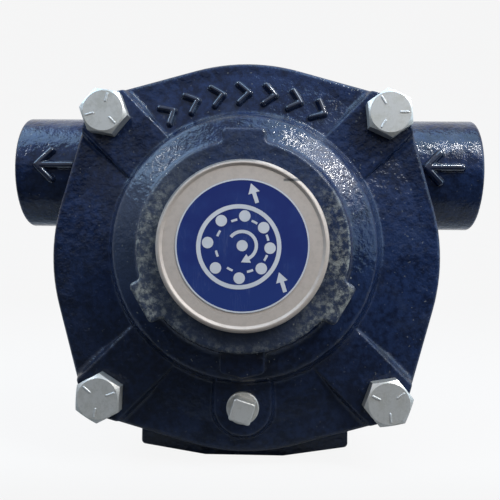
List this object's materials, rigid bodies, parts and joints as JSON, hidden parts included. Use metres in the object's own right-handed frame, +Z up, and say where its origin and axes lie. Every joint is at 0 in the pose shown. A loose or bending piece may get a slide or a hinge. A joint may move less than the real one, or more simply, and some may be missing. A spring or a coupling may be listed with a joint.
{
  "type": "roller pump",
  "caption": "Shaft-driven roller pump with a cast iron body and bolted end cover, a threaded port on each side, a drain plug and a foot.",
  "frame": {"origin": "on the shaft axis, at the face of the rear hub where the free end of the drive shaft starts", "axes": "+Y along the drive shaft away from the cover, +Z up from the foot, +X to the right of someone who faces the cover"},
  "size_m": [0.1708, 0.1695, 0.1377],
  "materials": {
    "enamelled_iron": "thick glossy enamel on rough cast iron, dusty",
    "zinc_plate": "zinc plate, slightly yellow, satin",
    "cap_steel": "satin plated sheet steel",
    "label_film": "printed film",
    "ground_steel": "ground steel, lightly oiled",
    "rotor_iron": "machined cast iron",
    "bearing_steel": "polished bearing steel",
    "cage_steel": "pressed steel",
    "spring_steel": "black oxide spring steel",
    "black_rubber": "moulded nitrile rubber",
    "roller_nylon": "turned nylon"
  },
  "bodies": {
    "housing": {"pump_body": "enamelled_iron", "end_cover": "enamelled_iron", "cover_o_ring": "black_rubber", "cover_bolts": "zinc_plate", "drain_plug": "zinc_plate", "bearing_cap": "cap_steel", "cap_label": "label_film", "rear_snap_ring": "spring_steel", "front_bearing_outer_ring": "bearing_steel", "front_bearing_shields": "cage_steel", "front_seal_case": "cage_steel", "front_seal_lip": "black_rubber", "front_seal_spring": "spring_steel", "rear_bearing_outer_ring": "bearing_steel", "rear_bearing_shields": "cage_steel", "rear_seal_case": "cage_steel", "rear_seal_lip": "black_rubber", "rear_seal_spring": "spring_steel"},
    "shaft": {"drive_shaft": "ground_steel", "rotor_key": "ground_steel", "rotor": "rotor_iron", "rotor_retaining_rings": "spring_steel", "front_shaft_ring": "spring_steel", "rear_shaft_ring": "spring_steel", "front_bearing_inner_ring": "bearing_steel", "rear_bearing_inner_ring": "bearing_steel"},
    "front_cage": {"front_bearing_cage": "cage_steel", "front_bearing_balls": "bearing_steel"},
    "rear_cage": {"rear_bearing_cage": "cage_steel", "rear_bearing_balls": "bearing_steel"},
    "roller_1_body": {"roller_1": "roller_nylon"},
    "roller_2_body": {"roller_2": "roller_nylon"},
    "roller_3_body": {"roller_3": "roller_nylon"},
    "roller_4_body": {"roller_4": "roller_nylon"},
    "roller_5_body": {"roller_5": "roller_nylon"},
    "roller_6_body": {"roller_6": "roller_nylon"},
    "roller_7_body": {"roller_7": "roller_nylon"},
    "roller_8_body": {"roller_8": "roller_nylon"}
  },
  "joints": [
    {"name": "shaft_spin", "type": "hinge", "parent": "housing", "child": "shaft", "pos_m": [0, 0, 0], "axis": [0, 1, 0], "continuous": true},
    {"name": "front_cage_spin", "type": "hinge", "parent": "housing", "child": "front_cage", "pos_m": [0, 0, 0], "axis": [0, 1, 0], "continuous": true},
    {"name": "rear_cage_spin", "type": "hinge", "parent": "housing", "child": "rear_cage", "pos_m": [0, 0, 0], "axis": [0, 1, 0], "continuous": true},
    {"name": "roller_1_spin", "type": "hinge", "parent": "shaft", "child": "roller_1_body", "pos_m": [0.03372, -0.056, 0.01397], "axis": [0, 1, 0], "continuous": true},
    {"name": "roller_2_spin", "type": "hinge", "parent": "shaft", "child": "roller_2_body", "pos_m": [0.01397, -0.056, 0.03372], "axis": [0, 1, 0], "continuous": true},
    {"name": "roller_3_spin", "type": "hinge", "parent": "shaft", "child": "roller_3_body", "pos_m": [-0.01397, -0.056, 0.03372], "axis": [0, 1, 0], "continuous": true},
    {"name": "roller_4_spin", "type": "hinge", "parent": "shaft", "child": "roller_4_body", "pos_m": [-0.03372, -0.056, 0.01397], "axis": [0, 1, 0], "continuous": true},
    {"name": "roller_5_spin", "type": "hinge", "parent": "shaft", "child": "roller_5_body", "pos_m": [-0.03372, -0.056, -0.01397], "axis": [0, 1, 0], "continuous": true},
    {"name": "roller_6_spin", "type": "hinge", "parent": "shaft", "child": "roller_6_body", "pos_m": [-0.01397, -0.056, -0.03372], "axis": [0, 1, 0], "continuous": true},
    {"name": "roller_7_spin", "type": "hinge", "parent": "shaft", "child": "roller_7_body", "pos_m": [0.01397, -0.056, -0.03372], "axis": [0, 1, 0], "continuous": true},
    {"name": "roller_8_spin", "type": "hinge", "parent": "shaft", "child": "roller_8_body", "pos_m": [0.03372, -0.056, -0.01397], "axis": [0, 1, 0], "continuous": true}
  ],
  "couplings": [
    {"joint": "front_cage_spin", "follows": "shaft_spin", "ratio": 0.39691},
    {"joint": "rear_cage_spin", "follows": "shaft_spin", "ratio": 0.39691},
    {"joint": "roller_1_spin", "follows": "shaft_spin", "ratio": -5.4593},
    {"joint": "roller_2_spin", "follows": "shaft_spin", "ratio": -5.4593},
    {"joint": "roller_3_spin", "follows": "shaft_spin", "ratio": -5.4593},
    {"joint": "roller_4_spin", "follows": "shaft_spin", "ratio": -5.4593},
    {"joint": "roller_5_spin", "follows": "shaft_spin", "ratio": -5.4593},
    {"joint": "roller_6_spin", "follows": "shaft_spin", "ratio": -5.4593},
    {"joint": "roller_7_spin", "follows": "shaft_spin", "ratio": -5.4593},
    {"joint": "roller_8_spin", "follows": "shaft_spin", "ratio": -5.4593}
  ]
}
